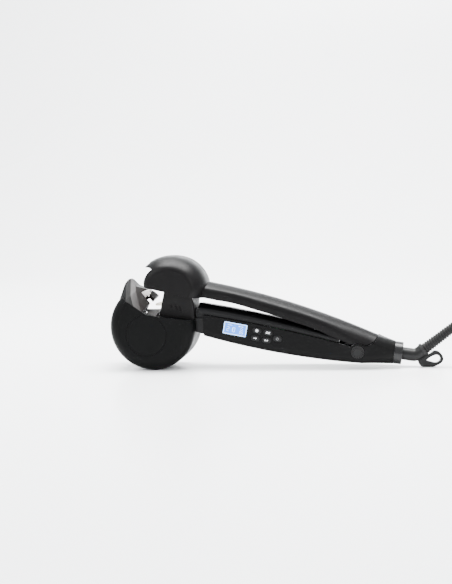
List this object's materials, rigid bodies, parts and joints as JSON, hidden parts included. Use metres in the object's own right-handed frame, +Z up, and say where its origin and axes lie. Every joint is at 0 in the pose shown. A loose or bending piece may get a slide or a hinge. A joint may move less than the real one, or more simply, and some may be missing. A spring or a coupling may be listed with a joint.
{
  "type": "automatic hair curler",
  "caption": "Hand-held automatic hair curler: round curl head with a spinning hook and heated barrel, hinged upper jaw with a domed cap, buttons, display and swivelling mains lead.",
  "frame": {"origin": "centre of the curler's own box in X and Y, on the surface that it lies on", "axes": "+X from the round curl head to the mains lead, -Y the side with the controls, +Z up"},
  "size_m": [0.4897, 0.0757, 0.1044],
  "materials": {
    "soft_black": "soft-touch matte",
    "dark_plastic": "satin",
    "button_plastic": "matte",
    "blue_display": "gloss",
    "module_grey": "matte",
    "gear_plastic": "natural acetal",
    "steel": "brushed",
    "brass": "satin",
    "ceramic_metal": "ceramic coated",
    "board": "solder mask",
    "cord_rubber": "matte",
    "silicone": "matte"
  },
  "bodies": {
    "root": {"badge_disc": "soft_black", "barrel_cap": "dark_plastic", "button_mat": "silicone", "chamber_liner": "dark_plastic", "coil_tie": "cord_rubber", "control_board": "board", "cord_coil": "cord_rubber", "cord_tube": "cord_rubber", "cover_screws": "steel", "display_module": "module_grey", "display_window": "blue_display", "drum_far_cover": "soft_black", "drum_near_cover": "soft_black", "gear_axles": "steel", "gear_plate": "gear_plastic", "gear_screws": "steel", "handle_lower_shell": "soft_black", "handle_screws": "steel", "handle_upper_shell": "soft_black", "heated_barrel": "ceramic_metal", "heater_core": "ceramic_metal", "hinge_cap_far": "dark_plastic", "hinge_cap_near": "dark_plastic", "hinge_pin": "steel", "horn_insert": "soft_black", "jaw_spring": "steel", "jaw_switch": "dark_plastic", "motor": "steel", "neck_frame": "soft_black", "notch_ramp": "soft_black", "plug_body": "dark_plastic", "plug_pins": "brass", "power_board": "board", "rear_guide_block": "soft_black", "rotor_race": "dark_plastic", "swivel_contacts": "dark_plastic", "tail_collar": "dark_plastic", "thermal_cutout": "brass"},
    "jaw": {"upper_jaw_shell": "soft_black", "jaw_hinge_bracket": "steel", "cap_liner": "dark_plastic"},
    "rotor": {"rotor_ring": "gear_plastic", "rotor_hook": "brass"},
    "pinion_a": {"pinion_a": "gear_plastic"},
    "pinion_b": {"pinion_b": "gear_plastic"},
    "sun": {"sun_gear": "gear_plastic"},
    "motor_rotor": {"motor_gear": "steel"},
    "swivel": {"swivel_elbow": "dark_plastic", "cord_boot": "cord_rubber"},
    "power_button": {"power_button": "button_plastic"},
    "direction_button": {"direction_button": "button_plastic"},
    "time_button": {"time_button": "button_plastic"},
    "minus_button": {"minus_button": "button_plastic"},
    "plus_button": {"plus_button": "button_plastic"}
  },
  "joints": [
    {"name": "jaw_hinge", "type": "hinge", "parent": "root", "child": "jaw", "pos_m": [0.0632, 0, 0.0155], "axis": [0, -1, 0], "range_deg": [0, 5], "stiffness_Nm_per_rad": 0.9, "springref_deg": -20.05, "deforming": ["jaw_spring"]},
    {"name": "rotor_spin", "type": "hinge", "parent": "root", "child": "rotor", "pos_m": [-0.1225, 0, 0.0395], "axis": [0, 1, 0], "continuous": true},
    {"name": "pinion_a_spin", "type": "hinge", "parent": "root", "child": "pinion_a", "pos_m": [-0.1035, 0, 0.0395], "axis": [0, 1, 0], "continuous": true},
    {"name": "pinion_b_spin", "type": "hinge", "parent": "root", "child": "pinion_b", "pos_m": [-0.1415, 0, 0.0395], "axis": [0, 1, 0], "continuous": true},
    {"name": "sun_spin", "type": "hinge", "parent": "root", "child": "sun", "pos_m": [-0.1225, 0, 0.0395], "axis": [0, 1, 0], "continuous": true},
    {"name": "motor_spin", "type": "hinge", "parent": "root", "child": "motor_rotor", "pos_m": [-0.1225, 0, 0.0245], "axis": [0, 1, 0], "continuous": true},
    {"name": "swivel_turn", "type": "hinge", "parent": "root", "child": "swivel", "pos_m": [0.0953, 0, 0.0131], "axis": [0.9898, 0, -0.1426], "continuous": true, "deforming": ["cord_tube"]},
    {"name": "power_button_press", "type": "slide", "parent": "root", "child": "power_button", "axis": [0, 1, 0], "range_m": [0, 0.0005], "stiffness_N_per_m": 2500, "springref_m": -0.0002},
    {"name": "direction_button_press", "type": "slide", "parent": "root", "child": "direction_button", "axis": [0, 1, 0], "range_m": [0, 0.0005], "stiffness_N_per_m": 2500, "springref_m": -0.0002},
    {"name": "time_button_press", "type": "slide", "parent": "root", "child": "time_button", "axis": [0, 1, 0], "range_m": [0, 0.0005], "stiffness_N_per_m": 2500, "springref_m": -0.0002},
    {"name": "minus_button_press", "type": "slide", "parent": "root", "child": "minus_button", "axis": [0, 1, 0], "range_m": [0, 0.0005], "stiffness_N_per_m": 2500, "springref_m": -0.0002},
    {"name": "plus_button_press", "type": "slide", "parent": "root", "child": "plus_button", "axis": [0, 1, 0], "range_m": [0, 0.0005], "stiffness_N_per_m": 2500, "springref_m": -0.0002}
  ],
  "couplings": [
    {"joint": "pinion_a_spin", "follows": "rotor_spin", "ratio": 3.1111},
    {"joint": "pinion_b_spin", "follows": "rotor_spin", "ratio": 3.1111},
    {"joint": "sun_spin", "follows": "rotor_spin", "ratio": -2.8},
    {"joint": "motor_spin", "follows": "rotor_spin", "ratio": 5.6}
  ]
}
